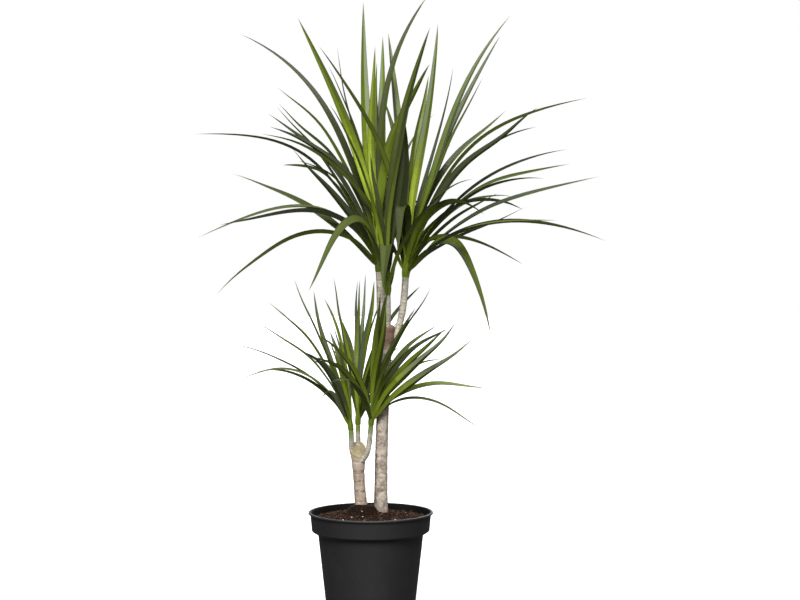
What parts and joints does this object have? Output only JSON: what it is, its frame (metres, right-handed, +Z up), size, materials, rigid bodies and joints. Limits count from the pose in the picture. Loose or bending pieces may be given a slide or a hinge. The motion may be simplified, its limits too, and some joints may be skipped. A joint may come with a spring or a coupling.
{
  "type": "potted dragon tree",
  "caption": "Dragon tree with bare canes and heads of long strap leaves, planted in a plain black nursery pot.",
  "frame": {"origin": "middle of the pot's flat underside, on the surface that the plant stands on", "axes": "+Z up, +X to the viewer's right in the picture, +Y away from the viewer"},
  "size_m": [0.6333, 0.4688, 0.9709],
  "materials": {
    "pot": "matt black moulded plastic",
    "compost": "moist bark and peat compost",
    "cane": "pale beige bark with leaf scars",
    "branch": "young ringed bark, greener near the leaves",
    "leaf": "smooth leathery leaf with a soft sheen"
  },
  "bodies": {
    "root": {"pot": "pot", "compost": "compost", "cane_tall": "cane", "cane_short": "cane", "branch_upper_left": "branch", "branch_upper_middle": "branch", "branch_upper_right": "branch", "branch_lower_left": "branch", "branch_lower_middle": "branch", "branch_lower_right": "branch", "leaf_head_upper_left": "leaf", "leaf_head_upper_middle": "leaf", "leaf_head_upper_right": "leaf", "leaf_head_lower_left": "leaf", "leaf_head_lower_middle": "leaf", "leaf_head_lower_right": "leaf"}
  },
  "joints": []
}
